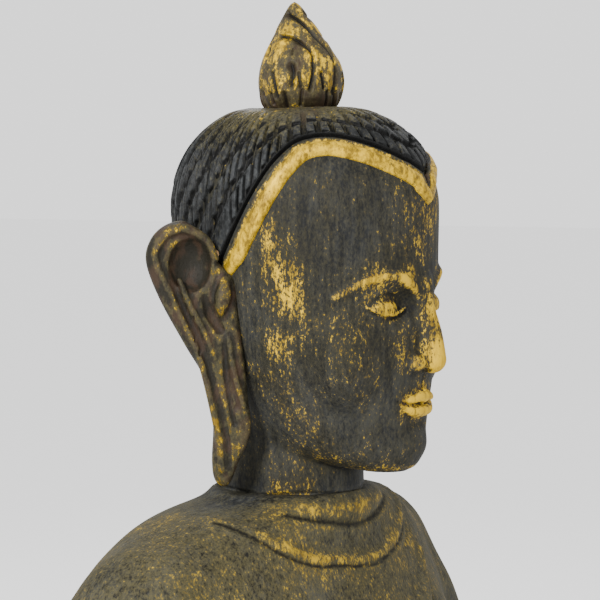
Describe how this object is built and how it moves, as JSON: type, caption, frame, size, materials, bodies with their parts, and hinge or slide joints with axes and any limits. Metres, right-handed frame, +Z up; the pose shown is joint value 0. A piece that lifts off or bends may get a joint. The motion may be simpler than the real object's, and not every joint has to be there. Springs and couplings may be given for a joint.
{
  "type": "buddha statue",
  "caption": "Seated meditation figure in carved, black-lacquered wood with rubbed gilding, on an oblong lotus seat, with a lift-out bud finial.",
  "frame": {"origin": "middle of the flat underside of the foot tier, on the floor", "axes": "+Z up; the figure faces -Y; +X is the figure's left hand side"},
  "size_m": [0.4498, 0.27, 0.56],
  "materials": {
    "lacquered_wood": "worn black lacquer over carved wood, gold rubbed into the grain, satin",
    "lacquered_seat": "worn black lacquer with gilded petal rims, satin",
    "gilding": "old gold leaf on red-brown lacquer putty, soft gloss",
    "gilded_bud": "rubbed gold leaf over dark lacquer, soft gloss",
    "gilded_ear": "rubbed gold and red-brown lacquer over dark lacquer",
    "bare_wood": "unpainted hardwood pegs"
  },
  "bodies": {
    "statue": {"foot_tier": "lacquered_seat", "waist_tier": "lacquered_seat", "lotus_tier": "lacquered_seat", "tier_dowels": "bare_wood", "seat_dowels": "bare_wood", "lap_block": "lacquered_wood", "torso_front": "lacquered_wood", "torso_back": "lacquered_wood", "back_panel": "lacquered_wood", "panel_pegs": "bare_wood", "core_dowels": "bare_wood", "torso_dowels": "bare_wood", "left_arm": "lacquered_wood", "right_arm": "lacquered_wood", "shoulder_dowels": "bare_wood", "left_forearm": "lacquered_wood", "right_forearm": "lacquered_wood", "elbow_dowels": "bare_wood", "left_hand": "lacquered_wood", "right_hand": "lacquered_wood", "wrist_dowels": "bare_wood", "head_block": "lacquered_wood", "neck_peg": "bare_wood", "left_ear": "gilded_ear", "right_ear": "gilded_ear", "ear_pegs": "bare_wood", "hairline_band": "gilding"},
    "finial_unit": {"finial": "gilded_bud", "finial_peg": "bare_wood"}
  },
  "joints": [
    {"name": "finial_lift", "type": "slide", "parent": "statue", "child": "finial_unit", "axis": [0, 0, 1], "range_m": [0, 0.035]}
  ]
}
